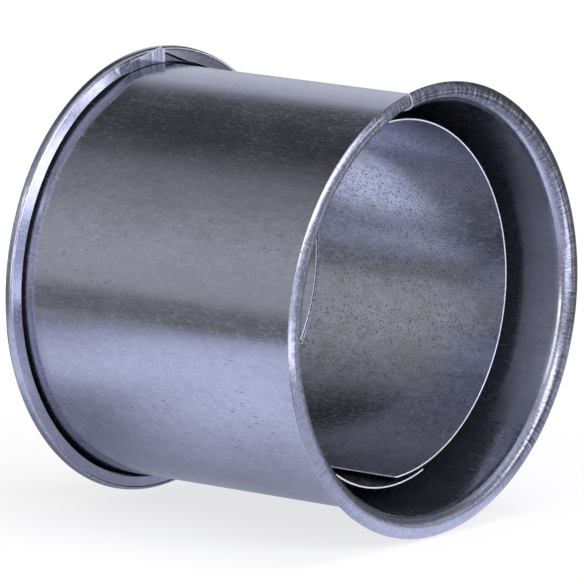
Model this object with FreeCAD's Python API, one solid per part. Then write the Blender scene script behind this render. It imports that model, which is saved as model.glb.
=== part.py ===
import FreeCAD
import Part
import math
import os

# Double wall sleeve for a flue pipe of 120 mm, from galvanised steel sheet.
# Millimetres and degrees. The flue runs along Y, the mouth in the room faces -Y, Z is up.
# The origin is on the flue's axis, halfway between the mouth and the back.
# Angles round the axis start at -X and grow towards +Z, so 90 is the top.

# sheet and overall length
sheet = 0.6
length = 125.0

# outer tube
tube_radius = 70.0        # outside of the wall
tube_drop = 1.2           # the tube sits this much lower than the flue's axis
lip_bend = 4.3            # cove from the wall to the crest of the mouth's lip
lip_land = 0.4            # flat crest that the roller leaves
lip_roll_bend = 4.6       # the lip rolls back past the crest
lip_roll_angle = 35.0
lip_tail = 0.4            # straight raw edge of the lip

# open hem at the back of the tube
hem_depth = 5.3           # from the wall's middle out to the web's middle
hem_height = 1.33         # from the flange forward to the folded plate
hem_bend = 0.65
hem_root_bend = 1.4       # from the wall into the flange
plate_width = 3.75        # folded plate, from the web in to its raw edge
plate_lean = 17.0         # the plate leans forward towards the wall

# lap seam of the tube, near the top
seam_angle = 79.0         # cut edge of the inner layer
lap_angle = 15.0          # the outer layer runs this far over it
lap_gap = 0.08
set_angle = 5.0           # stretch in which the outer layer steps out
notch_angle = 0.6         # slit in the hem at the seam
flange_trim = 0.9         # the outer layer's flange ends this far inside the hem's web
tab_sink = 0.4            # the tab's outer edge starts this far inside the web's inner face
tab_seat = 0.25           # between the tab and the wall's outer layer under it
tab_trim = 1.1            # the tab ends this much before the outer layer's cut edge
tab_bevel = 1.5           # bevelled outer corner of the tab
mitre_angle = 6.0         # taper of the plate beyond the tab's end

# closing ring at the back
ring_gap = 0.1            # between the hem's flange and the ring
crimp_gap = 0.12          # between the hem's folded corner and the ring's lip
crimp_turn = 45.0         # the lip's edge turns in over the hem's corner
crimp_tail = 0.05         # straight raw edge of the lip
crimp_splay = 0.3         # the ring's lip is wider at the back than at the hem's corner
crimp_bend = 0.7
collar_length = 24.4      # collar inside the sleeve, from the back forward
collar_gap = 0.2          # between the collar and the sleeve
collar_bend = 1.6
collar_notch_angle = 174.0
collar_notch_width = 14.0
collar_notch_depth = 2.4

# inner sleeve, a spring roll with loose ends
sleeve_bore = 60.25       # radius that takes the flue pipe
sleeve_recess = 18.6      # from the front of the lip back to the sleeve
sleeve_back_gap = 0.5     # between the sleeve's end and the collar's bend
sleeve_inner_end = 269.0  # cut edge of the inner layer
sleeve_ease_angle = 0.0   # here the outer layer leaves the bore's circle
sleeve_ease_radius = 4.5  # added to the radius of the easing arc
sleeve_ease_sweep = 55.0
sleeve_curl_radius = 54.0
sleeve_curl_sweep = 54.0
bead_height = 0.35
bead_width = 2.4
bead_lead = 1.0           # the bead's middle is this much in front of the collar's edge

AXIS = FreeCAD.Vector(0, 1, 0)
front = -length / 2
back = length / 2
half = sheet / 2


def unit(v):
    return v.multiply(1 / v.Length)


def corner(p, before, after, radius):
    """Tangent points and mid point of a bend of this radius in a corner."""
    a = unit(before - p)
    b = unit(after - p)
    opening = a.getAngle(b) / 2
    reach = radius / math.tan(opening)
    centre = p + unit(a + b) * (radius / math.sin(opening))
    return p + a * reach, centre + unit(p - centre) * radius, p + b * reach


def side_of(points, bends, shift):
    """A bent line moved sideways by shift, as corners and bend radii."""
    normals = []
    for p, q in zip(points, points[1:]):
        d = unit(q - p)
        normals.append(FreeCAD.Vector(-d.y, d.x, 0))
    moved = [points[0] + normals[0] * shift]
    radii = []
    for i in range(1, len(points) - 1):
        n, m = normals[i - 1], normals[i]
        joint = (n + m) * (1 / (1 + n.dot(m)))
        moved.append(points[i] + joint * shift)
        turn = n.x * m.y - n.y * m.x
        radii.append(bends[i - 1] - shift * math.copysign(1, turn))
    moved.append(points[-1] + normals[-1] * shift)
    return moved, radii


def bent_edges(points, radii):
    edges = []
    start = points[0]
    for i, radius in enumerate(radii, 1):
        first, middle, last = corner(points[i], points[i - 1], points[i + 1], radius)
        edges.append(Part.makeLine(start, first))
        edges.append(Part.Arc(first, middle, last).toShape())
        start = last
    edges.append(Part.makeLine(start, points[-1]))
    return edges


def sheet_wire(path, bends, shift=0.0):
    """Closed outline of bent sheet. The path holds (radius, y) of its middle line."""
    points = [FreeCAD.Vector(-r, y, 0) for r, y in path]
    one, one_radii = side_of(points, bends, shift - half)
    two, two_radii = side_of(points, bends, shift + half)
    edges = bent_edges(one, one_radii)
    edges.append(Part.makeLine(one[-1], two[-1]))
    edges += bent_edges(two, two_radii)
    edges.append(Part.makeLine(two[0], one[0]))
    return Part.Wire(Part.__sortEdges__(edges))


def placed(shape, angle, centre=(0.0, 0.0)):
    """A section drawn at angle 0 about an axis, turned to its angle and moved to that axis."""
    out = shape.copy()
    out.rotate(FreeCAD.Vector(0, 0, 0), AXIS, angle)
    out.translate(FreeCAD.Vector(centre[0], 0, centre[1]))
    return out


def turned(wire, angle, sweep, centre=(0.0, 0.0)):
    base = FreeCAD.Vector(centre[0], 0, centre[1])
    return placed(Part.Face(wire), angle, centre).revolve(base, AXIS, sweep)


def radial(angle, radius):
    a = math.radians(angle)
    return FreeCAD.Vector(-radius * math.cos(a), 0, radius * math.sin(a))


def one_solid(pieces):
    shape = pieces[0].fuse(pieces[1:]).removeSplitter()
    return shape.Solids[0] if len(shape.Solids) == 1 else shape


# places that several pieces share
tube_axis = (0.0, -tube_drop)
wall = tube_radius - half
ring_y = back - half
flange_y = back - sheet - ring_gap - half
web = wall + hem_depth
plate_y = flange_y - hem_height
lean = math.radians(plate_lean)
fold_y = plate_y + hem_bend * math.tan((math.pi / 2 - lean) / 2)
plate_edge = (web - plate_width * math.cos(lean), plate_y - plate_width * math.sin(lean))
crest_y = front + half
roll = math.radians(lip_roll_angle)
roll_reach = lip_roll_bend * math.tan(roll / 2)
roll_corner = wall + lip_bend + lip_land + roll_reach
roll_tail = roll_reach + lip_tail
lip_edge = (roll_corner + roll_tail * math.cos(roll), crest_y + roll_tail * math.sin(roll))
step = sheet + lap_gap

# outer tube: lip, wall and hem in one rolled sheet
mouth_path = [lip_edge, (roll_corner, crest_y), (wall, crest_y)]
mouth_bends = [lip_roll_bend, lip_bend]
full_path = mouth_path + [(wall, flange_y), (web, flange_y), (web, plate_y), plate_edge]
full_bends = mouth_bends + [hem_root_bend, hem_bend, hem_bend]
plain_path = mouth_path + [(wall, flange_y), (web, flange_y), (web, fold_y)]
plain_bends = mouth_bends + [hem_root_bend, hem_bend]
outer_path = mouth_path + [(wall, flange_y), (web - flange_trim, flange_y)]
outer_bends = mouth_bends + [hem_root_bend]
hem_path = [(web, flange_y - half), (web, plate_y), plate_edge]

full = sheet_wire(full_path, full_bends)
under = sheet_wire(plain_path, plain_bends)
level = sheet_wire(outer_path, outer_bends)
stepped = sheet_wire(outer_path, outer_bends, step)
hem = sheet_wire(hem_path, [hem_bend])

tab_start = seam_angle + 360 - notch_angle
set_start = tab_start - set_angle
lap_end = seam_angle + 360 + lap_angle
far_start = seam_angle + lap_angle

inner_layer = turned(under, seam_angle, lap_angle, tube_axis)
main_turn = turned(full, far_start, set_start - far_start, tube_axis)
rise = Part.makeLoft([placed(level, set_start, tube_axis), placed(stepped, tab_start, tube_axis)], True, True)
hem_end = turned(hem, set_start, set_angle, tube_axis)
outer_layer = turned(stepped, tab_start, lap_end - tab_start, tube_axis)

# the folded plate runs on past the slit as a flat tab: its foot follows the wall, its outer edge is straight
tab_front = plate_edge[1] - half
tab_low = wall + step + half + tab_seat
tab_high = web - half - tab_sink
tab_end = lap_end - tab_trim
bevel_start = tab_end - tab_bevel
tab_corners = [
    radial(tab_start, tab_low),
    radial(set_start, plate_edge[0]),
    radial(set_start, tab_high),
    radial(tab_start, tab_high),
    radial(bevel_start, tab_high / math.cos(math.radians(bevel_start - tab_start))),
    radial(tab_end, tab_high + half),
    radial(tab_end, tab_low),
]
tab_edges = [Part.makeLine(p, q) for p, q in zip(tab_corners, tab_corners[1:])]
tab_foot = Part.Arc(tab_corners[-1], radial((tab_start + tab_end) / 2, tab_low), tab_corners[0])
tab = Part.Face(Part.Wire(tab_edges + [tab_foot.toShape()])).extrude(AXIS * sheet)
tab.translate(FreeCAD.Vector(0, tab_front, -tube_drop))

# beyond the tab the plate of the other end starts as a point and widens
cut_y = plate_edge[1] - sheet
mitre_points = [
    radial(far_start - 0.5, plate_edge[0] - sheet),
    radial(far_start - 0.5, web - sheet),
    radial(far_start + mitre_angle, plate_edge[0] - sheet),
]
lift = FreeCAD.Vector(0, cut_y, -tube_drop)
mitre_outline = [p + lift for p in mitre_points]
mitre = Part.Face(Part.makePolygon(mitre_outline + mitre_outline[:1]))
mitre = mitre.extrude(AXIS * (plate_y + half - cut_y))

outer_tube = one_solid([main_turn.cut(mitre), inner_layer, rise, hem_end, outer_layer, tab])

# closing ring: its lip is crimped round the hem and over its corner, its collar stands inside the sleeve
crimp_radius = web + half + crimp_gap + half
turn_bend = hem_bend + half + crimp_gap + half
turn = math.radians(crimp_turn)
corner_y = fold_y - turn_bend * math.tan(turn / 2)
turn_reach = turn_bend * math.tan(turn / 2) + crimp_tail
crimp_path = [
    (crimp_radius - turn_reach * math.sin(turn), corner_y - turn_reach * math.cos(turn)),
    (crimp_radius, corner_y),
    (crimp_radius + crimp_splay, ring_y),
    (wall - hem_depth, ring_y),
]
crimp = turned(sheet_wire(crimp_path, [turn_bend, crimp_bend]), 0, 360, tube_axis)
collar = sleeve_bore - collar_gap - half
collar_edge = back - collar_length
collar_path = [(collar, collar_edge), (collar, ring_y), (wall - half, ring_y)]
neck = turned(sheet_wire(collar_path, [collar_bend]), 0, 360)
closing_ring = one_solid([crimp, neck])
notch_points = [
    radial(collar_notch_angle - collar_notch_width, collar - sheet),
    radial(collar_notch_angle, collar - sheet),
    radial(collar_notch_angle, collar + 2 * sheet),
    radial(collar_notch_angle - collar_notch_width, collar + 2 * sheet),
]
lift = FreeCAD.Vector(0, collar_edge - sheet, 0)
notch_outline = [p + lift for p in notch_points]
notch = Part.Face(Part.makePolygon(notch_outline + notch_outline[:1]))
closing_ring = closing_ring.cut(notch.extrude(AXIS * (sheet + collar_notch_depth)))

# inner sleeve: one section with a bead, turned about three centres so that its ends overlap
sleeve_front = front + sleeve_recess
sleeve_back = ring_y - collar_bend - sleeve_back_gap
bead_y = collar_edge - bead_lead


def sleeve_part(radius, angle, sweep, centre):
    bead = [
        (radius, sleeve_front),
        (radius, bead_y - bead_width / 2),
        (radius + bead_height, bead_y),
        (radius, bead_y + bead_width / 2),
        (radius, sleeve_back),
    ]
    return turned(sheet_wire(bead, [sheet, sheet, sheet]), angle, sweep, centre)


sleeve_mid = sleeve_bore + half
bore_turn = sleeve_part(sleeve_mid, sleeve_ease_angle, sleeve_inner_end - sleeve_ease_angle, (0.0, 0.0))
ease = radial(sleeve_ease_angle, -sleeve_ease_radius)
ease_mid = sleeve_mid + sleeve_ease_radius
ease_end = sleeve_ease_angle - sleeve_ease_sweep
ease_turn = sleeve_part(ease_mid, ease_end, sleeve_ease_sweep, (ease.x, ease.z))
curl = ease + radial(ease_end, ease_mid - sleeve_curl_radius)
curl_turn = sleeve_part(sleeve_curl_radius, ease_end - sleeve_curl_sweep, sleeve_curl_sweep, (curl.x, curl.z))
inner_sleeve = one_solid([bore_turn, ease_turn, curl_turn])

os.makedirs("parts", exist_ok=True)
outer_tube.exportStep("parts/outer_tube.step")
closing_ring.exportStep("parts/closing_ring.step")
inner_sleeve.exportStep("parts/inner_sleeve.step")
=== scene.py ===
import math
from functools import cached_property

import bpy
import numpy as np
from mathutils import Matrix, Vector, noise


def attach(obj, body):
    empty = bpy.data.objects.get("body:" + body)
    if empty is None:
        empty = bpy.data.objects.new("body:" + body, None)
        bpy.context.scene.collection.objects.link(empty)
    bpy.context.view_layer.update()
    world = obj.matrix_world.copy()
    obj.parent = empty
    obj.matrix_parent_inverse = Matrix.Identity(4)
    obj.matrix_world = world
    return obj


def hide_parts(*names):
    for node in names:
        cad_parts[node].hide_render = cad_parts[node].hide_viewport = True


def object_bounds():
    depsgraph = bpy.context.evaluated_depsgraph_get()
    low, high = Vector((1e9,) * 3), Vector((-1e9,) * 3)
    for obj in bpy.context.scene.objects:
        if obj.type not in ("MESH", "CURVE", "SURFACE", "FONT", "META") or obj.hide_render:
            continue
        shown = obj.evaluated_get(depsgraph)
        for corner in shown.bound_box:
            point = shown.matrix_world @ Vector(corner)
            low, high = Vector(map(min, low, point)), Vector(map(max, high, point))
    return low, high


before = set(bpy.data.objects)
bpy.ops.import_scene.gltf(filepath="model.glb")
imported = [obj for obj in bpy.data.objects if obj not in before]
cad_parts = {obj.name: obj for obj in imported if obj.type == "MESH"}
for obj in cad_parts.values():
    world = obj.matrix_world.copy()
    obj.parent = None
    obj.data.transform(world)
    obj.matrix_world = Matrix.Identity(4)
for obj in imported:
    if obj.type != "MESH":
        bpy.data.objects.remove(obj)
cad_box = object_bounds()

# Looks of the double wall sleeve. Sizes are in millimetres until a mesh is made.
# Angles round the axis are in degrees, start at -X and grow towards +Z, so 90 is the top.
MM = 0.001

# sheet and overall length, as in the solids
SHEET = 0.6
HALF = SHEET / 2
FRONT = -62.5
BACK = 62.5

# rounding of the sheet's raw edges, which are square in the solids
EDGE_ROUND = 0.16
EDGE_SEGMENTS = 3
EDGE_ANGLE = math.radians(50)

# outer tube: radii and places of its bends, to the middle of the sheet
TUBE_Z = -1.2
WALL = 69.7
WEB = WALL + 5.3
FLANGE_Y = 61.5
PLATE_Y = FLANGE_Y - 1.33
PLATE_LEAN = math.radians(17)
PLATE_WIDTH = 3.75
PLATE_EDGE = (WEB - PLATE_WIDTH * math.cos(PLATE_LEAN), PLATE_Y - PLATE_WIDTH * math.sin(PLATE_LEAN))
CREST_Y = FRONT + HALF
ROLL = math.radians(35)
LIP_BEND = 4.3
LIP_LAND = 0.4
LIP_ROLL_BEND = 4.6
LIP_TAIL = 0.4
ROOT_BEND = 1.4
HEM_BEND = 0.65

# the tube's line has even numbers for its straight runs and odd ones for its bends
CREST_RUNS = (1, 2, 3)
WALL_RUN = 4
FLANGE_RUN = 6
HEM_RUN = 8
PLATE_RUN = 10

# the tube's lap: its cut edge and overlap, and the slit in the web, in degrees
SEAM = 79.0
LAP = 15.0
NOTCH = 0.6
# the height of the outer layer's step, and the turn over which it rises, longer than in the solids
STEP = SHEET + 0.08
WALL_SET = 14.0
# the tab: the turn in which the plate flattens into it, the web cut off beside it, its distances from the
# web's edge and the outer layer, and how far it ends before the lap and is bevelled, in degrees
SET = 5.0
FLANGE_TRIM = 0.9
TAB_SINK = 0.4
TAB_SEAT = 0.25
TAB_TRIM = 1.1
TAB_BEVEL = 1.5
# the turn over which the plate's other end tapers, longer than in the solids, and its start and least width
MITRE = 14.0
MITRE_LEAD = 0.5
MITRE_LEAST = 0.1

# the lip is out of round in the photograph: its mean, its lean and its oval
LIP_SAG = -0.54
LIP_LEAN = 0.35
LIP_OVAL = 0.75
LIP_OVAL_AT = math.radians(157)
LIP_SAG_RISE = 5

# slight waves and the roller's marks, each as stretch along the line, size, seed and height
WAVE_CYLINDER = 70
WALL_WAVES = ((0.55, 26, 3.1, 0.035), (0.35, 9, 8.4, 0.008))
WALL_SINK = 0.03
WALL_CALM = 4
WALL_FRONT_RISE = 12
WALL_BACK_RISE = 10
LIP_MARKS = ((1.5, 1.6, 5.7, 0.05), (0.4, 5, 1.2, 0.06))
LIP_MARKS_MEAN = 0.05
LIP_MARKS_RISE = (1.5, 3.5)

# closing ring
RING_Y = BACK - HALF
CRIMP_GAP = 0.12
CRIMP = WEB + HALF + CRIMP_GAP + HALF
CRIMP_TURN = math.radians(45)
CRIMP_TAIL = 0.05
CRIMP_SPLAY = 0.3
CRIMP_BEND = 0.7
COLLAR = 59.75
COLLAR_EDGE = BACK - 24.4
COLLAR_BEND = 1.6
COLLAR_NOTCH = (160.0, 174.0)
COLLAR_NOTCH_DEPTH = 2.4
COLLAR_CENTRED = COLLAR + 3

# inner sleeve, whose bead is fainter than in the solids
SLEEVE = 60.55
SLEEVE_FRONT = FRONT + 18.6
SLEEVE_BACK = RING_Y - COLLAR_BEND - 0.5
SLEEVE_END = 269.0
EASE_RADIUS = 4.5
EASE_SWEEP = 55.0
CURL_RADIUS = 54.0
CURL_SWEEP = 54.0
BEAD_Y = COLLAR_EDGE - 1.0
BEAD_WIDTH = 2.4
BEAD_HEIGHT = 0.06
SLEEVE_WAVES = ((0.5, 20, 12.9, 1.0),)
SLEEVE_WAVE_TURN = 0.8
SLEEVE_WAVE = 0.035
SLEEVE_WAVE_RISE = (-1, 8)
SLEEVE_WAVE_FALL = (-8, -2)

# degrees between the rows of the meshes
TUBE_STEP = 0.62
RING_STEP = 0.6
SLEEVE_STEP = 0.7
BEND_STEP = 10.0


def unit(v):
    v = np.asarray(v, float)
    return v / np.linalg.norm(v)


def smooth(low, high, x):
    """0 up to low, 1 from high on, and a soft rise between them."""
    t = np.clip((x - low) / (high - low), 0, 1)
    return t * t * (3 - 2 * t)


def even(n):
    """Shares of a run that cut it into n equal steps."""
    return [i / n for i in range(n + 1)]


def bent_line(points, bends, stops):
    """Middle points and outward normals along a bent line of (radius, y), and the number of each run.
    stops holds, for each straight run, the shares of it at which a point stands."""
    points = [np.array(p, float) for p in points]
    mids, normals, runs = [], [], []
    start = points[0]
    for k in range(1, len(points)):
        way = unit(points[k] - points[k - 1])
        end = points[k]
        bends_here = k < len(points) - 1
        if bends_here:
            after = unit(points[k + 1] - points[k])
            turn = math.atan2(way[0] * after[1] - way[1] * after[0], float(way @ after))
            radius = bends[k - 1]
            end = points[k] - way * radius * math.tan(abs(turn) / 2)
        for t in stops[k - 1]:
            mids.append(start + (end - start) * t)
            normals.append((way[1], -way[0]))
            runs.append(2 * k - 2)
        if bends_here:
            side = math.copysign(1, turn)
            across = np.array((-way[1], way[0])) * side
            centre = end + across * radius
            arm = end - centre
            count = max(2, round(abs(math.degrees(turn)) / BEND_STEP))
            for n in range(1, count):
                swept = turn * n / count
                c, s = math.cos(swept), math.sin(swept)
                mids.append(centre + np.array((arm[0] * c - arm[1] * s, arm[0] * s + arm[1] * c)))
                here = np.array((way[0] * c - way[1] * s, way[0] * s + way[1] * c))
                normals.append((here[1], -here[0]))
                runs.append(2 * k - 1)
            start = points[k] + after * radius * math.tan(abs(turn) / 2)
    return np.array(mids), np.array(normals), np.array(runs)


def rows_through(keys, step):
    """Angles from the first key to the last with a row at each key."""
    out = [keys[0]]
    for a, b in zip(keys, keys[1:]):
        n = max(1, round((b - a) / step))
        out += [a + (b - a) * i / n for i in range(1, n + 1)]
    return np.array(out)


def round_axis(angle, radius, y, centre=(0.0, 0.0)):
    """Points at angles and radii round an axis along Y, whose centre is given by x and z."""
    a = np.radians(angle)
    x = centre[0] - radius * np.cos(a)
    z = centre[1] + radius * np.sin(a)
    return np.stack(np.broadcast_arrays(x, y, z), axis=-1)


def line_radius(angle, a0, r0, a1, r1):
    """Radius at an angle on the straight line between two points given by angle and radius."""
    p = np.array((math.cos(math.radians(a0)), math.sin(math.radians(a0)))) * r0
    q = np.array((math.cos(math.radians(a1)), math.sin(math.radians(a1)))) * r1
    d = q - p
    u = np.stack([np.cos(np.radians(angle)), np.sin(np.radians(angle))], axis=-1)
    return (p[0] * d[1] - p[1] * d[0]) / (u[..., 0] * d[1] - u[..., 1] * d[0])


def wave(angle, y, size, seed):
    """Smooth noise between about -1 and 1 on a cylinder, one value a point."""
    a = np.radians(angle)
    x, z = np.cos(a) * WAVE_CYLINDER, np.sin(a) * WAVE_CYLINDER
    shape = np.broadcast(angle, y).shape
    x, y, z = (np.broadcast_to(v, shape).ravel() for v in (x, y, z))
    out = [noise.noise(Vector((p / size + seed, q / size, r / size))) for p, q, r in zip(x, y, z)]
    return np.array(out).reshape(shape)


def wave_sum(angle, along, parts):
    """Sum of waves, each given by its stretch along the line, size, seed and height."""
    return sum(wave(angle, along * stretch, size, seed) * height for stretch, size, seed, height in parts)


def thick_sheet(name, mid, normal, cells, wrap=False):
    """A closed mesh of sheet. mid and normal are rows by columns by 3, cells says which grid faces exist."""
    rows, columns = mid.shape[:2]
    normal = normal / np.linalg.norm(normal, axis=-1, keepdims=True)
    low = (mid - normal * HALF).reshape(-1, 3)
    high = (mid + normal * HALF).reshape(-1, 3)
    points = np.concatenate([low, high]) * MM
    top = rows * columns
    faces = []
    raw = []
    edges_of = (((0, -1), 0, 1), ((1, 0), 1, 2), ((0, 1), 2, 3), ((-1, 0), 3, 0))
    count, width = cells.shape

    def there(i, j):
        if wrap:
            i %= count
        return 0 <= i < count and 0 <= j < width and cells[i, j]

    for i in range(count):
        k = (i + 1) % rows
        for j in range(width):
            if not cells[i, j]:
                continue
            face = [i * columns + j, k * columns + j, k * columns + j + 1, i * columns + j + 1]
            faces.append([v + top for v in face])
            faces.append([face[0], face[3], face[2], face[1]])
            raw += [0, 0]
            for (di, dj), a, b in edges_of:
                if not there(i + di, j + dj):
                    faces.append([face[b] + top, face[a] + top, face[a], face[b]])
                    raw.append(1)

    # only the points that a face uses are kept, and the faces look outwards
    used = np.unique(np.array(faces))
    place = np.full(len(points), -1)
    place[used] = np.arange(len(used))
    faces = place[np.array(faces)]
    points = points[used]
    corner = points[faces]
    volume = np.einsum("ij,ij->i", corner[:, 0], np.cross(corner[:, 1], corner[:, 2])).sum()
    volume += np.einsum("ij,ij->i", corner[:, 0], np.cross(corner[:, 2], corner[:, 3])).sum()
    if volume < 0:
        faces = faces[:, ::-1]

    mesh = bpy.data.meshes.new(name)
    mesh.from_pydata(points.tolist(), [], faces.tolist())
    mesh.polygons.foreach_set("material_index", raw)
    mesh.shade_smooth()
    mesh.validate()
    obj = bpy.data.objects.new(name, mesh)
    bpy.context.scene.collection.objects.link(obj)
    bevel = obj.modifiers.new("edges", "BEVEL")
    bevel.width = EDGE_ROUND * MM
    bevel.segments = EDGE_SEGMENTS
    bevel.limit_method = "ANGLE"
    bevel.angle_limit = EDGE_ANGLE
    weighted = obj.modifiers.new("normals", "WEIGHTED_NORMAL")
    weighted.keep_sharp = False
    return obj


def tube_line():
    """Line of the tube's sheet from the edge of the lip over wall and web to the edge of the hem's plate."""
    roll_reach = LIP_ROLL_BEND * math.tan(ROLL / 2)
    roll_corner = WALL + LIP_BEND + LIP_LAND + roll_reach
    roll_tail = roll_reach + LIP_TAIL
    lip_edge = (roll_corner + roll_tail * math.cos(ROLL), CREST_Y + roll_tail * math.sin(ROLL))
    flange_run = WEB - HEM_BEND - (WALL + ROOT_BEND)
    trim_share = (flange_run - (FLANGE_TRIM - HEM_BEND)) / flange_run
    wall_corners = [(WALL, CREST_Y), (WALL, FLANGE_Y)]
    hem_corners = [(WEB, FLANGE_Y), (WEB, PLATE_Y)]
    return bent_line(
        [lip_edge, (roll_corner, CREST_Y), *wall_corners, *hem_corners, PLATE_EDGE],
        [LIP_ROLL_BEND, LIP_BEND, ROOT_BEND, HEM_BEND, HEM_BEND],
        [even(1), even(1), even(26), [0, trim_share / 2, trim_share, 1], even(2), even(3)],
    )


def tube_sheet():
    """Outer tube: one sheet from the inner layer's cut edge round to the outer layer's."""
    line, facing, run = tube_line()
    line_r, line_y = line.T
    edge_r, edge_y = PLATE_EDGE
    places = np.arange(len(line))
    hem_start = int(np.flatnonzero(run == FLANGE_RUN)[-1])
    web_end = int(np.flatnonzero(run == HEM_RUN)[-1])
    plate_start = int(np.flatnonzero(run == PLATE_RUN)[0])
    on_hem = places >= hem_start
    plate = places >= plate_start

    far = SEAM + LAP
    tab_start = SEAM + 360 - NOTCH
    set_start = tab_start - SET
    lap_end = far + 360
    tab_end = lap_end - TAB_TRIM
    bevel_start = tab_end - TAB_BEVEL
    first_keys = [SEAM, far - NOTCH, far, far + MITRE]
    angles = rows_through(
        [*first_keys, set_start, tab_start, SEAM + 360, bevel_start, tab_end, lap_end], TUBE_STEP
    )
    A = angles[:, None]
    radius = np.tile(line_r, (len(angles), 1))
    along = np.tile(line_y, (len(angles), 1))
    out = np.tile(facing[:, 0], (len(angles), 1))
    ahead = np.tile(facing[:, 1], (len(angles), 1))

    # the outer layer steps out over the inner one
    lift = np.where(on_hem, 0, STEP * smooth(tab_start - WALL_SET, tab_start, A))
    radius = radius + out * lift
    along = along + ahead * lift

    # the plate tapers where it begins, beyond the tab
    t = np.clip((places - plate_start) / (len(line) - plate_start - 1), 0, None)
    start_r, start_y = line[plate_start]
    mitre_edge = line_radius(A, far - MITRE_LEAD, WEB - SHEET, far + MITRE, edge_r - SHEET)
    mitre_edge = np.maximum(edge_r, mitre_edge)
    mitre_edge = np.where(A < far + MITRE, np.minimum(mitre_edge, start_r - MITRE_LEAST), edge_r)
    edge_share = (start_r - mitre_edge) / (start_r - edge_r)
    radius = np.where(plate, start_r + (edge_r - start_r) * t * edge_share, radius)
    along = np.where(plate, start_y + (edge_y - start_y) * t * edge_share, along)

    # at its other end it runs on past the slit as a flat tab
    tab_low = WALL + STEP + HALF + TAB_SEAT
    tab_high = WEB - HALF - TAB_SINK
    tab_top = tab_high / math.cos(math.radians(bevel_start - tab_start))
    tab_out = np.where(A < tab_start, tab_high, line_radius(A, tab_start, tab_high, bevel_start, tab_top))
    bevel_edge = line_radius(A, bevel_start, tab_top, tab_end, tab_high + HALF)
    tab_out = np.where(A > bevel_start, bevel_edge, tab_out)
    tab_in = np.where(A < tab_start, line_radius(A, set_start, edge_r, tab_start, tab_low), tab_low)
    tab_r = tab_out + (tab_in - tab_out) * t
    share = np.clip((A - set_start) / SET, 0, 1)
    weight = share * np.clip((places - web_end) / (plate_start - web_end), 0, 1)
    radius = np.where(on_hem, radius + (tab_r - np.where(plate, radius, start_r)) * weight, radius)
    along = np.where(on_hem, along + (edge_y - np.where(plate, along, start_y)) * weight, along)
    out = np.where(on_hem, out * (1 - weight), out)
    ahead = np.where(on_hem, ahead * (1 - weight) + weight, ahead)

    # the lip is a little out of round, flatter at the top and the lower right
    theta = np.radians(A)
    sag = LIP_SAG - LIP_LEAN * np.sin(theta) + LIP_OVAL * np.cos(2 * (theta - LIP_OVAL_AT))
    radius = radius + sag * smooth(WALL, WALL + LIP_SAG_RISE, line_r) * (run < WALL_RUN)

    # slight waves of the rolled wall, and the roller's marks on the lip
    calm_front, calm_back = FRONT + WALL_CALM, BACK - WALL_CALM
    fade = smooth(calm_front, calm_front + WALL_FRONT_RISE, line_y)
    fade = fade * (1 - smooth(calm_back - WALL_BACK_RISE, calm_back, line_y)) * (run == WALL_RUN)
    radius = radius + (wave_sum(A, line_y[None, :], WALL_WAVES) - WALL_SINK) * fade
    crest = np.isin(run, CREST_RUNS) * smooth(WALL + LIP_MARKS_RISE[0], WALL + LIP_MARKS_RISE[1], line_r)
    dent = (wave_sum(A, line_r[None, :], LIP_MARKS) - LIP_MARKS_MEAN) * crest
    radius = radius + out * np.abs(dent)
    along = along + ahead * np.abs(dent)

    # the slit in the web, the notch beside the tab and the tab's end
    cells = np.ones((len(angles) - 1, len(line) - 1), bool)
    mid_angle = (angles[:-1] + angles[1:]) / 2
    column = places[:-1]
    cells[np.ix_(mid_angle < far, column >= web_end)] = False
    cells[np.ix_(mid_angle > set_start, column == hem_start - 1)] = False
    cells[np.ix_(mid_angle > tab_start, (column >= hem_start) & (column < plate_start))] = False
    cells[np.ix_(mid_angle > tab_end, column >= plate_start)] = False
    middle = round_axis(A, radius, along, (0, TUBE_Z))
    return thick_sheet("tube_sheet_metal", middle, round_axis(A, out, ahead), cells)


def ring_sheet():
    """Closing ring, whose lip and collar have centres of their own."""
    fold_y = PLATE_Y + HEM_BEND * math.tan((math.pi / 2 - PLATE_LEAN) / 2)
    turn_bend = HEM_BEND + HALF + CRIMP_GAP + HALF
    corner_y = fold_y - turn_bend * math.tan(CRIMP_TURN / 2)
    turn_reach = turn_bend * math.tan(CRIMP_TURN / 2) + CRIMP_TAIL
    lip_end = (CRIMP - turn_reach * math.sin(CRIMP_TURN), corner_y - turn_reach * math.cos(CRIMP_TURN))
    notch_share = COLLAR_NOTCH_DEPTH / (RING_Y - COLLAR_BEND - COLLAR_EDGE)
    line, facing, _ = bent_line(
        [lip_end, (CRIMP, corner_y), (CRIMP + CRIMP_SPLAY, RING_Y), (COLLAR, RING_Y), (COLLAR, COLLAR_EDGE)],
        [turn_bend, CRIMP_BEND, COLLAR_BEND],
        [even(1), even(2), even(8), [0, 0.25, 0.5, 0.75, 1 - notch_share, 1]],
    )
    line_r, line_y = line.T[:, None, :]
    angles = rows_through([0.0, *COLLAR_NOTCH, 360.0], RING_STEP)[:-1]
    A = angles[:, None]
    centre_z = TUBE_Z * smooth(COLLAR_CENTRED, WALL, line_r)
    cells = np.ones((len(angles), len(line) - 1), bool)
    notch_start, notch_end = np.array(COLLAR_NOTCH) - RING_STEP / 2
    cells[(angles > notch_start) & (angles < notch_end), -1] = False
    middle = round_axis(A, line_r, line_y, (0, centre_z))
    direction = round_axis(A, facing[:, 0][None, :], facing[:, 1][None, :])
    return thick_sheet("ring_sheet_metal", middle, direction, cells, wrap=True)


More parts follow.
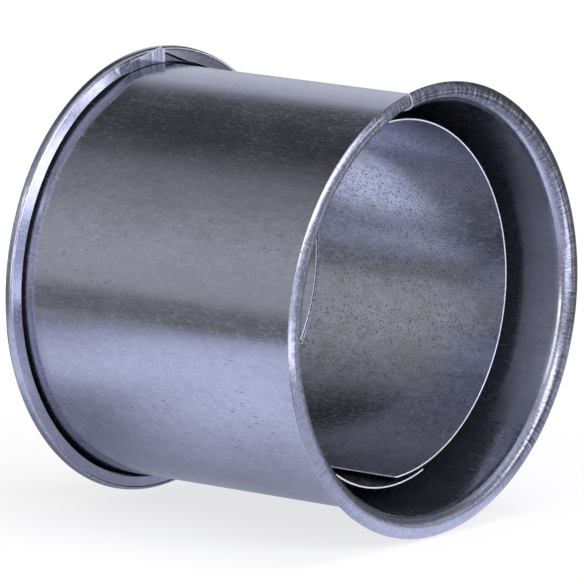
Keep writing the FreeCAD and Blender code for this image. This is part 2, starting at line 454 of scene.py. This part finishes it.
def sleeve_sheet():
    """Inner sleeve: the bore's circle, the easing arc and the curled end."""
    bead_start, bead_end = BEAD_Y - BEAD_WIDTH / 2, BEAD_Y + BEAD_WIDTH / 2
    line, facing, _ = bent_line(
        [(0, SLEEVE_FRONT), (0, bead_start), (BEAD_HEIGHT, BEAD_Y), (0, bead_end), (0, SLEEVE_BACK)],
        [SHEET, SHEET, SHEET],
        [even(24), even(1), even(1), even(7)],
    )
    line_r, line_y = line.T[:, None, :]
    ease = round_axis(0.0, -EASE_RADIUS, 0.0)
    ease_mid = SLEEVE + EASE_RADIUS
    curl = ease + round_axis(-EASE_SWEEP, ease_mid - CURL_RADIUS, 0.0)
    angles = rows_through([-EASE_SWEEP - CURL_SWEEP, -EASE_SWEEP, 0.0, SLEEVE_END], SLEEVE_STEP)
    A = angles[:, None]
    bore_part = A >= 0
    curl_part = A < -EASE_SWEEP
    turn_radius = np.where(bore_part, SLEEVE, np.where(curl_part, CURL_RADIUS, ease_mid))
    centre_x = np.where(bore_part, 0, np.where(curl_part, curl[0], ease[0]))
    centre_z = np.where(bore_part, 0, np.where(curl_part, curl[2], ease[2]))

    # slight waves between the front edge and the bead
    rise = smooth(SLEEVE_FRONT + SLEEVE_WAVE_RISE[0], SLEEVE_FRONT + SLEEVE_WAVE_RISE[1], line_y)
    fall = smooth(BEAD_Y + SLEEVE_WAVE_FALL[0], BEAD_Y + SLEEVE_WAVE_FALL[1], line_y)
    fade = rise * (1 - fall)
    waves = (1 + wave_sum(A * SLEEVE_WAVE_TURN, line_y, SLEEVE_WAVES)) * SLEEVE_WAVE * fade
    cells = np.ones((len(angles) - 1, len(line) - 1), bool)
    middle = round_axis(A, turn_radius + line_r + waves, line_y, (centre_x, centre_z))
    direction = round_axis(A, facing[:, 0][None, :], facing[:, 1][None, :])
    return thick_sheet("sleeve_sheet_metal", middle, direction, cells)


class Nodes:
    """A material with short calls for its nodes. The coordinates x, y and z are in metres."""

    def __init__(self, name):
        self.material = bpy.data.materials.new(name)
        self.material.use_nodes = True
        self.tree = self.material.node_tree
        self.shader = self.tree.nodes["Principled BSDF"]
        self.place = self.add("ShaderNodeTexCoord").outputs["Object"]
        self.x, self.y, self.z = self.add("ShaderNodeSeparateXYZ", {0: self.place}).outputs

    def add(self, kind, inputs=(), **values):
        node = self.tree.nodes.new(kind)
        for key, value in values.items():
            setattr(node, key, value)
        for key, value in dict(inputs).items():
            if isinstance(value, bpy.types.NodeSocket):
                self.tree.links.new(value, node.inputs[key])
            else:
                node.inputs[key].default_value = value
        return node

    def stretched(self, scale, turn=(0, 0, 0)):
        """Place stretched along the axes and turned."""
        inputs = {"Vector": self.place, "Scale": scale, "Rotation": turn}
        return self.add("ShaderNodeMapping", inputs).outputs[0]

    def unrolled(self, radius, along):
        """Place on the unrolled sheet of a given radius: length of arc, then y times a factor."""
        arc = self.product(self.math("ARCTAN2", self.z, self.x), radius)
        return self.add("ShaderNodeCombineXYZ", {0: arc, 1: self.product(self.y, along)}).outputs[0]

    @cached_property
    def reach(self):
        """Distance from the tube's axis."""
        height = self.math("SUBTRACT", self.z, TUBE_Z * MM)
        across = self.add("ShaderNodeCombineXYZ", {0: self.x, 2: height}).outputs[0]
        return self.add("ShaderNodeVectorMath", {0: across}, operation="LENGTH").outputs["Value"]

    def noise_at(self, at, scale, detail, rough, warp=0.0):
        return self.add("ShaderNodeTexNoise", {"Vector": at, "Scale": scale, "Detail": detail,
                                               "Roughness": rough, "Distortion": warp}).outputs[0]

    def noise(self, scale, detail, rough, stretch=(1, 1, 1), turn=(0, 0, 0), warp=0.0):
        return self.noise_at(self.stretched(stretch, turn), scale, detail, rough, warp)

    def dots(self, at, scale, size, share):
        """Round dots of several sizes in the space of at, in a share of the cells."""
        cells = self.add("ShaderNodeTexVoronoi", {"Vector": at, "Scale": scale})
        chance = self.add("ShaderNodeSeparateColor", {0: cells.outputs["Color"]}).outputs
        edge = self.product(self.span(chance[1], 0, 1, 0.5, 1.0), size)
        near = self.math("DIVIDE", cells.outputs["Distance"], edge)
        kept = self.span(chance[0], share - 0.02, share + 0.02, 1, 0)
        return self.product(self.span(near, 0.6, 1.1, 1, 0), kept)

    def span(self, value, low, high, to_low=0.0, to_high=1.0):
        """A value between low and high, brought to the range from to_low to to_high and held there."""
        return self.add("ShaderNodeMapRange", {"Value": value, "From Min": low, "From Max": high,
                                               "To Min": to_low, "To Max": to_high}).outputs[0]

    def math(self, kind, first, *others):
        """The first value, joined with each of the others in turn."""
        for other in others:
            first = self.add("ShaderNodeMath", {0: first, 1: other}, operation=kind).outputs[0]
        return first

    def total(self, *values):
        return self.math("ADD", *values)

    def product(self, *values):
        return self.math("MULTIPLY", *values)

    def most(self, *values):
        return self.math("MAXIMUM", *values)

    def zone(self, *spans):
        """Product of spans, each given by the name of a coordinate and the numbers for span."""
        return self.product(*(self.span(getattr(self, name), *numbers) for name, *numbers in spans))

    def mix(self, share, a, b):
        return self.add("ShaderNodeMix", {0: share, 6: a, 7: b}, data_type="RGBA").outputs[2]

    def bump(self, height, strength, distance, **before):
        inputs = {"Height": height, "Strength": strength, "Distance": distance}
        return self.add("ShaderNodeBump", {**inputs, **before}).outputs[0]

    def set(self, key, value):
        self.tree.links.new(value, self.shader.inputs[key])


# the metals
METALLIC = 0.97
EDGE_METALLIC = 0.35
PIT_COLOUR = (0.07, 0.07, 0.09, 1)
STAIN_COLOUR = (0.42, 0.39, 0.36, 1)
# painted shade: the colour of the shade painted along the bore's top and bottom
BORE_SHADE_COLOUR = (0.16, 0.16, 0.19, 1)
# the colour that darkens the lip's crest
CREST_DARK_COLOUR = (0.055, 0.055, 0.08, 1)
SCUFF_COLOUR = (0.16, 0.16, 0.21, 1)
BARE_COLOUR = (0.86, 0.87, 0.93, 1)
# painted shade: the colour of the shade painted inside the mouth, in the corner in front of the rim and in
# the hem's groove
PAINTED_SHADE_COLOUR = (0.10, 0.10, 0.12, 1)

# the range in which nearly all of a noise lies
NOISE = (0.3, 0.7)

# Zones of the sheets, in metres. Each line is a coordinate and the places where a mark begins and is full,
# with the shares there where these aren't 0 and 1. reach is the distance from the tube's axis.
# painted shade along the top and the bottom of the bore
BORE_SHADE_TOP = (("z", 0.045, 0.056, 0.0, 0.55),)
BORE_SHADE_BOTTOM = (("z", -0.044, -0.052, 0.0, 0.4),)
WALL_ALONE = (("y", 0.0575, 0.0565),)
# where the lip's crest is darker, less so on the left, at the bottom and on the far right
CREST = (
    ("y", -0.0608, -0.0616),
    ("x", -0.06, -0.01, 0.3, 1.0),
    ("z", -0.072, -0.05, 0.12, 1.0),
    ("x", 0.05, 0.07, 1.0, 0.7),
)
TAB = (
    ("y", 0.0575, 0.0585),
    ("z", 0.066, 0.069),
    ("x", -0.026, -0.018),
    ("x", 0.0045, 0.0040),
)
MOUTH = (
    ("reach", 0.0696, 0.0698, 1, 0),
    ("y", -0.0425, -0.0455),
    ("y", -0.0600, -0.0588),
)
# painted shade on the left inside the mouth
MOUTH_SHADE = (("x", -0.052, -0.062, 0.0, 0.6),)
MOUTH_SIDES = (
    ("z", 0.060, 0.020),
    ("z", -0.065, -0.030),
)
# painted shade on the tube's lower side, in the corner in front of the rim
RIM_CORNER = (
    ("y", 0.051, 0.060, 0.0, 0.65),
    ("reach", 0.0708, 0.0716, 1, 0),
    ("z", 0.01, -0.03),
)
# painted shade in the groove behind the hem's plate
BEHIND_PLATE = (
    ("y", 0.0600, 0.0609),
    ("reach", 0.0742, 0.0738),
)
# beside the tab, where the hem's painted shade fades out
BESIDE_TAB = (
    ("z", 0.055, 0.062),
    ("x", -0.034, -0.024),
    ("x", 0.004, 0.002),
)


def bore_stains_and_shade(n, colour):
    """Stained patches, and painted shade along the top and the bottom of the bore."""
    patches = n.noise(scale=70, detail=3, rough=0.6, stretch=(1, 0.8, 1), turn=(0.3, 0, 0))
    colour = n.mix(n.span(patches, 0.50, 0.66, 0.0, 0.45), colour, STAIN_COLOUR)
    # painted shade along the top and the bottom
    bore_shade = n.total(n.zone(*BORE_SHADE_TOP), n.zone(*BORE_SHADE_BOTTOM))
    return n.mix(bore_shade, colour, BORE_SHADE_COLOUR)


def bore_pits(n):
    """Fine pits that stand in rows along the axis."""
    rows = n.noise(scale=120, detail=2, rough=0.5, stretch=(1, 0.12, 1))
    pits = n.dots(n.unrolled(SLEEVE * MM, along=1.7), scale=980, size=0.39, share=0.9)
    return n.product(pits, n.span(rows, 0.42, 0.56, 0.35, 1.0))


def tube_dashes(n):
    """Short dark dashes along the axis, in patches, and none on the rim."""
    patches = n.noise(scale=48, detail=2, rough=0.5)
    dashes = n.dots(n.unrolled(WALL * MM, along=0.18), scale=1100, size=0.24, share=0.6)
    return n.product(dashes, n.span(patches, 0.47, 0.58), n.zone(*WALL_ALONE))


def ring_dots(n):
    """A few small dots."""
    return n.dots(n.stretched((1, 0.3, 1)), scale=520, size=0.20, share=0.35)


def tube_crest_and_scuffs(n, colour, shine):
    """The lip's crest is darker, less so on the left and at the bottom, with bare spots and cross marks. The
    tab beside the seam is scuffed.
    """
    crest = n.zone(*CREST)
    round_rim = n.unrolled(WEB * MM, along=0.4)
    marks = n.noise_at(round_rim, scale=1050, detail=4, rough=0.65)
    patches = n.noise_at(round_rim, scale=230, detail=2, rough=0.5)
    colour = n.mix(n.product(crest, n.span(marks, 0.45, 0.60, 0.45, 1.0)), colour, CREST_DARK_COLOUR)
    colour = n.mix(n.product(n.zone(*TAB), n.span(marks, 0.42, 0.56, 0.1, 0.85)), colour, SCUFF_COLOUR)
    bare = n.product(n.span(marks, 0.42, 0.34), n.span(patches, 0.45, 0.62))
    return colour, n.most(shine, n.product(crest, bare))


def tube_painted_shade(n, colour, roughness):
    """The sheet is dull inside the mouth, with painted shade there on the left, in the corner in front of the
    rim and in the groove of the hem.
    """
    mouth = n.zone(*MOUTH)
    # the painted shade in the hem's groove fades out beside the tab
    hem = n.product(n.zone(*BEHIND_PLATE), n.span(n.zone(*BESIDE_TAB), 0, 1, 0.95, 0.1))
    # painted shade inside the mouth on the left, in the corner in front of the rim and in the hem's groove
    painted_shade = n.most(n.product(mouth, n.zone(*MOUTH_SHADE)), n.zone(*RIM_CORNER), hem)
    dull = n.product(mouth, n.zone(*MOUTH_SIDES), 0.33)
    return n.mix(painted_shade, colour, PAINTED_SHADE_COLOUR), n.total(roughness, dull)


def steel(name, light, dark, rough, pit_share, fleck_share, pits, stains_and_shade=None, crest_and_scuffs=None, painted_shade=None):
    """Zinc coated sheet: axial grain, soft mottles, ticks across the grain, pits and light flecks."""
    n = Nodes(name)
    n.shader.inputs["Metallic"].default_value = METALLIC
    grain = n.noise(scale=1500, detail=3, rough=0.6, stretch=(1, 0.03, 1))
    fine = n.noise(scale=2200, detail=2, rough=0.6, stretch=(1, 0.3, 1))
    clouds = n.noise(scale=55, detail=4, rough=0.6, stretch=(1, 0.7, 1), warp=0.4)
    mottles = n.noise(scale=420, detail=3, rough=0.6, stretch=(1, 0.5, 1), warp=0.3)
    ticks = n.noise(scale=420, detail=2, rough=0.5, stretch=(1, 4.0, 1))
    spots = n.noise(scale=1700, detail=2, rough=0.6, stretch=(1, 0.26, 1), turn=(0.1, 0.1, 0))

    tone = n.total(
        n.span(grain, *NOISE, -0.2, 0.2),
        n.span(clouds, *NOISE, 0.15, 0.85),
        n.span(fine, *NOISE, -0.14, 0.14),
        n.span(mottles, *NOISE, -0.33, 0.33),
        n.span(ticks, 0.35, 0.7, -0.15, 0.25),
    )
    colour = n.mix(tone, dark + (1,), light + (1,))
    if stains_and_shade:
        colour = stains_and_shade(n, colour)
    pit = pits(n)
    colour = n.mix(n.product(pit, pit_share), colour, PIT_COLOUR)
    flecks = n.product(n.span(spots, 0.48, 0.70), fleck_share)
    shine = flecks
    if crest_and_scuffs:
        colour, shine = crest_and_scuffs(n, colour, shine)
    colour = n.mix(shine, colour, BARE_COLOUR)

    roughness = n.total(
        n.span(clouds, *NOISE, rough - 0.04, rough + 0.05),
        n.product(flecks, 0.5),
        n.span(grain, *NOISE, -0.04, 0.04),
    )
    if painted_shade:
        colour, roughness = painted_shade(n, colour, roughness)
    n.set("Base Color", colour)
    n.set("Roughness", n.total(roughness, n.product(pit, 0.3)))
    normal = n.bump(grain, strength=0.35, distance=0.00002)
    normal = n.bump(fine, strength=0.35, distance=0.00001, Normal=normal)
    n.set("Normal", n.bump(pit, strength=0.5, distance=-0.00002, Normal=normal))
    return n.material


def cut_edge():
    """The bare, lighter metal of the sheet's cut edges."""
    n = Nodes("cut_edge")
    n.shader.inputs["Metallic"].default_value = EDGE_METALLIC
    tone = n.noise(scale=1500, detail=2, rough=0.5)
    n.set("Base Color", n.mix(tone, (0.70, 0.71, 0.78, 1), (0.95, 0.95, 1.0, 1)))
    n.set("Roughness", n.span(tone, *NOISE, 0.3, 0.42))
    return n.material


tube_steel = steel(
    "tube_zinc", light=(0.535, 0.545, 0.67), dark=(0.435, 0.44, 0.545), rough=0.15,
    pit_share=0.6, fleck_share=0.26, pits=tube_dashes, crest_and_scuffs=tube_crest_and_scuffs, painted_shade=tube_painted_shade,
)
ring_steel = steel(
    "ring_zinc", light=(0.56, 0.58, 0.70), dark=(0.41, 0.425, 0.525), rough=0.16,
    pit_share=0.6, fleck_share=0.12, pits=ring_dots,
)
sleeve_steel = steel(
    "sleeve_zinc", light=(0.57, 0.585, 0.71), dark=(0.37, 0.38, 0.47), rough=0.18,
    pit_share=1.0, fleck_share=0.35, pits=bore_pits, stains_and_shade=bore_stains_and_shade,
)
edge_metal = cut_edge()

for obj, node, slot, material in (
    (tube_sheet(), "outer_tube", "tube_sheet", tube_steel),
    (ring_sheet(), "closing_ring", "ring_sheet", ring_steel),
    (sleeve_sheet(), "inner_sleeve", "sleeve_sheet", sleeve_steel),
):
    obj.data.materials.append(material)
    obj.data.materials.append(edge_metal)
    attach(obj, "root")
    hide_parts(node)
    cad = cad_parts[node]
    cad.data.materials.clear()
    cad.data.materials.append(material)


# The stage: a floor, and a room that lights the object and is mirrored in it, and isn't seen itself.
# Lengths are in metres, levels are strengths of light, and 1 is white.
FLOOR_COLOUR = (0.93, 0.93, 0.95, 1)
FLOOR_Z = cad_box[0].z - 0.0001
FLOOR_RADIUS = 0.33
FLOOR_RINGS = 24
FLOOR_SPOKES = 64
FLOOR_TINT = 1.28
FLOOR_WHITE = {"From Min": 0.08, "From Max": 0.24, "To Min": 0.72}
ROOM_RADIUS = 5.0
ROOM_SEGMENTS = 256
ROOM_RINGS = 128
GREEN_TINT = 0.18

# light of the room's walls by turn, in degrees from the front and positive to the right
WALL_LIGHT = (
    (-180, 0.45), (-128, 0.50), (-118, 0.26), (-106, 0.25), (-96, 0.55), (-86, 0.40), (-75, 0.62),
    (-64, 0.42), (-54, 0.28), (-42, 0.40), (-30, 0.85), (-16, 0.90), (-4, 0.84), (6, 0.68), (16, 0.42),
    (30, 0.30), (48, 0.28), (90, 0.23), (104, 0.16), (117, 0.15), (123, 0.42), (180, 0.42),
)
# the upper rear wall by its place across the room, darker towards the right
REAR_LIGHT = (
    (-0.74, 0.52), (-0.60, 0.40), (-0.49, 0.31), (-0.29, 0.23), (-0.10, 0.08), (0.05, 0.035),
    (0.35, 0.03), (0.50, 0.05),
)
# a grey card behind on the right, by height
CARD_LIGHT = (
    (0.30, 0.66), (0.40, 0.60), (0.50, 0.54), (0.56, 0.46), (0.60, 0.32), (0.65, 0.12), (0.68, 0.04),
)
CARD_TURN = (122, 172, 3)

# Windows and cards: level, then range of turn and range of height, each as low, high and soft edge.
# Heights are shares of the room's radius.
PATCHES = (
    # window on the left, with the light above and behind it
    (1.7, (-80, -61, 3), (0.08, 0.60, 0.05)),
    (2.6, (-79, -61, 3), (-0.05, 0.12, 0.03)),
    (1.8, (-116, -80, 4), (0.52, 0.64, 0.02)),
    (0.6, (-60, 15, 6), (0.35, 0.75, 0.08)),
    # broad window at the front
    (3.2, (-34, 13, 4), (0.235, 0.60, 0.04)),
    (2.6, (13, 24, 2), (0.28, 0.60, 0.04)),
    # narrow windows at the front on the right
    (0.8, (22, 31, 2), (0.20, 0.34, 0.03)),
    (2.4, (31, 38, 1.5), (0.20, 0.34, 0.03)),
    (0.55, (42, 58, 3), (0.03, 0.48, 0.04)),
    (0.5, (46, 57, 3), (-0.28, -0.10, 0.03)),
    (1.8, (46, 54, 2), (-0.16, -0.08, 0.015)),
    # low cards in front
    (2.7, (-16, 30, 6), (-0.34, -0.185, 0.02)),
    (2.2, (-30, 2, 5), (-0.34, -0.10, 0.03)),
    # bright door behind, seen only in raw edges
    (6.0, (150, 172, 3), (-0.26, 0.06, 0.04)),
)


def stage_nodes(name):
    """A stage material, without the shader that a new material has."""
    n = Nodes(name)
    n.tree.nodes.remove(n.shader)
    return n


def painted_light(n):
    """Emission in the light that paint has stored on a mesh."""
    painted = n.add("ShaderNodeAttribute", attribute_name="glow").outputs["Color"]
    return n.add("ShaderNodeEmission", {"Color": painted}).outputs[0]


def show(n, shader):
    n.tree.links.new(shader, n.tree.nodes["Material Output"].inputs["Surface"])
    return n.material


def floor_material():
    """Pale floor with the object's faint shadow, which turns into the white background towards its edge."""
    n = stage_nodes("floor_white")
    ray = n.add("ShaderNodeLightPath").outputs
    far_out = n.add("ShaderNodeVectorMath", {0: n.place}, operation="LENGTH").outputs["Value"]
    edge_range = {"Value": far_out, **FLOOR_WHITE}
    towards_edge = n.add("ShaderNodeMapRange", edge_range, interpolation_type="SMOOTHSTEP").outputs[0]
    seen = n.most(ray["Is Camera Ray"], ray["Is Transmission Ray"])
    diffuse = n.add("ShaderNodeBsdfDiffuse", {"Color": FLOOR_COLOUR}).outputs[0]
    white = n.add("ShaderNodeEmission", {"Color": (1, 1, 1, 1)}).outputs[0]
    white_share = n.product(seen, towards_edge)
    direct = n.add("ShaderNodeMixShader", {0: white_share, 1: diffuse, 2: white}).outputs[0]
    mirrored = {0: ray["Is Glossy Ray"], 1: direct, 2: painted_light(n)}
    return show(n, n.add("ShaderNodeMixShader", mirrored).outputs[0])


def room_material():
    n = stage_nodes("room_walls")
    return show(n, painted_light(n))


def paint(mesh, level, tint):
    """Stores the light of each corner of a stage mesh. Warm to cool is the tint, 1 is neutral."""
    glow = mesh.color_attributes.new("glow", "FLOAT_COLOR", "POINT")
    green = level * (1 + (tint - 1) * GREEN_TINT)
    colour = np.stack([level, green, level * tint, np.ones(len(level))], axis=-1)
    glow.data.foreach_set("color", colour.astype(np.float32).ravel())


def within(low, high, edge, value):
    """1 between low and high, with soft edges."""
    return smooth(low - edge, low + edge, value) * (1 - smooth(high - edge, high + edge, value))


def graded(value, steps):
    """A level read from pairs of place and level."""
    places, levels = zip(*steps)
    return np.interp(value, places, levels)


def toward(level, aim, share):
    """The level, moved towards another by a share."""
    return level + (aim - level) * share


def floor_light(x, y):
    """Light of the floor as the object mirrors it. The front is -Y, the right is +X."""
    level = 0.60 + 0.18 * (1 - smooth(-0.10, -0.05, x))
    level -= 0.08 * (1 - smooth(-0.27, -0.18, x))
    # in front on the left, then behind and on the right
    level = toward(level, 0.36, (1 - smooth(-0.12, -0.06, x)) * (1 - smooth(-0.08, -0.03, y)))
    level = toward(level, 0.31, smooth(-0.08, -0.015, x) * smooth(-0.08, 0.0, y))
    level = toward(level, 0.50, smooth(-0.05, 0.06, x) * smooth(-0.04, 0.05, y))
    level = toward(level, 0.24, within(-0.09, -0.01, 0.03, x) * smooth(0.02, 0.08, y))
    level *= 1 - 0.7 * smooth(0.08, 0.24, y)
    # bright spots behind and in front
    level = toward(level, 0.95, within(-0.04, 0.04, 0.02, x) * within(0.085, 0.13, 0.015, y))
    return toward(level, 0.85, within(-0.03, 0.06, 0.02, x) * within(-0.11, -0.045, 0.015, y))


def room_light(x, y, z):
    """Light and tint of the room by direction from its middle."""
    turn = np.degrees(np.arctan2(x, -y))
    rear = smooth(0.0, 0.35, y)
    level = graded(turn, WALL_LIGHT)
    # ceiling, brighter in front
    level = toward(level, 0.33, smooth(0.7, 0.9, z))
    level = toward(level, 0.60, smooth(0.80, 0.88, z) * (1 - smooth(-0.1, 0.1, y)))
    # rear wall, with a darker band low on the left and a dark ceiling over the grey card
    level = toward(level, graded(x, REAR_LIGHT), rear * smooth(0.2, 0.4, z))
    level = toward(level, 0.20, within(-0.25, -0.03, 0.04, z) * within(-165, -112, 8, turn))
    level = toward(level, 0.04, rear * smooth(0.15, 0.35, x) * smooth(0.58, 0.64, z))
    level = toward(level, graded(z, CARD_LIGHT), within(*CARD_TURN, turn) * within(0.10, 0.68, 0.02, z))
    # the right side is dimmer above the floor
    level *= 1 - 0.4 * within(60, 110, 6, turn) * smooth(-0.10, 0.0, z)
    for aim, turns, heights in PATCHES:
        level = toward(level, aim, within(*turns, turn) * within(*heights, z))
    tint = 1 + 0.14 * within(*CARD_TURN, turn) * within(0.10, 0.595, 0.02, z)
    tint += 0.15 * within(-60, 60, 10, turn)
    return level, tint


# floor: rings of corners round its middle, which comes last
reach = np.repeat(np.linspace(0, FLOOR_RADIUS, FLOOR_RINGS + 1)[1:], FLOOR_SPOKES)
spoke = np.tile(np.linspace(0, 2 * math.pi, FLOOR_SPOKES + 1)[:-1], FLOOR_RINGS)
floor_x = np.append(reach * np.cos(spoke), 0.0)
floor_y = np.append(reach * np.sin(spoke), 0.0)
floor_points = np.stack([floor_x, floor_y, np.full(len(floor_x), FLOOR_Z)], axis=-1)
middle_point = FLOOR_RINGS * FLOOR_SPOKES
floor_faces = [[i, (i + 1) % FLOOR_SPOKES, middle_point] for i in range(FLOOR_SPOKES)]
for k in range(FLOOR_RINGS - 1):
    inner, outer = k * FLOOR_SPOKES, (k + 1) * FLOOR_SPOKES
    for i in range(FLOOR_SPOKES):
        j = (i + 1) % FLOOR_SPOKES
        floor_faces.append([inner + i, outer + i, outer + j, inner + j])
floor_mesh = bpy.data.meshes.new("floor")
floor_mesh.from_pydata(floor_points.tolist(), [], floor_faces)
paint(floor_mesh, floor_light(floor_x, floor_y), np.full(len(floor_x), FLOOR_TINT))
floor_mesh.materials.append(floor_material())
floor = bpy.data.objects.new("floor", floor_mesh)
bpy.context.scene.collection.objects.link(floor)

# room
bpy.ops.mesh.primitive_uv_sphere_add(
    segments=ROOM_SEGMENTS, ring_count=ROOM_RINGS, radius=ROOM_RADIUS, location=(0, 0, 0)
)
room = bpy.context.object
room.name = "room"
directions = np.array([v.co for v in room.data.vertices]) / ROOM_RADIUS
paint(room.data, *room_light(*directions.T))
room.data.materials.append(room_material())
room.visible_camera = False
room.visible_shadow = False

# lamps: name, direction, size and power. They light the floor and the raw edges, and aren't mirrored.
LAMP_DISTANCE = 1.6
LAMPS = (
    ("top", (0.05, -0.15, 1.0), 0.9, 10),
    ("front", (-0.35, -0.85, 0.45), 0.8, 14),
)
for name, direction, size, power in LAMPS:
    light = bpy.data.lights.new(name, "AREA")
    light.shape = "RECTANGLE"
    light.size = light.size_y = size
    light.energy = power
    lamp = bpy.data.objects.new(name, light)
    bpy.context.scene.collection.objects.link(lamp)
    direction = Vector(direction).normalized()
    lamp.location = direction * LAMP_DISTANCE
    lamp.rotation_mode = "QUATERNION"
    lamp.rotation_quaternion = direction.to_track_quat("Z", "Y")
    lamp.visible_camera = False
    lamp.visible_glossy = False

world = bpy.data.worlds.new("studio")
bpy.context.scene.world = world
world.use_nodes = True
world.node_tree.nodes["Background"].inputs["Color"].default_value = (1, 1, 1, 1)
world.node_tree.nodes["Background"].inputs["Strength"].default_value = 1.0

# camera as in the photograph, a little left of the tube's axis and below it
CAMERA_AZIMUTH = math.radians(-50.75)
CAMERA_ELEVATION = math.radians(10.44)
CAMERA_DISTANCE = 3.0
CAMERA_LEFT = 0.0002
CAMERA_DOWN = 0.00123
CAMERA_LENS = 549.3
sideways, forwards = math.sin(CAMERA_AZIMUTH), math.cos(CAMERA_AZIMUTH)
flat = math.cos(CAMERA_ELEVATION)
camera_way = Vector((sideways * flat, -forwards * flat, math.sin(CAMERA_ELEVATION)))
right = Vector((forwards, sideways, 0))
up = camera_way.cross(right)
camera_data = bpy.data.cameras.new("camera")
camera_data.sensor_width = 36
camera_data.lens = CAMERA_LENS
camera_data.clip_start = 0.1
camera_data.clip_end = 40
camera = bpy.data.objects.new("camera", camera_data)
bpy.context.scene.collection.objects.link(camera)
tube_middle = Vector((0, 0, TUBE_Z * MM))
camera.location = tube_middle + camera_way * CAMERA_DISTANCE - right * CAMERA_LEFT - up * CAMERA_DOWN
camera.rotation_mode = "QUATERNION"
camera.rotation_quaternion = camera_way.to_track_quat("Z", "Y")
bpy.context.scene.camera = camera
bpy.context.scene.view_settings.view_transform = "Standard"
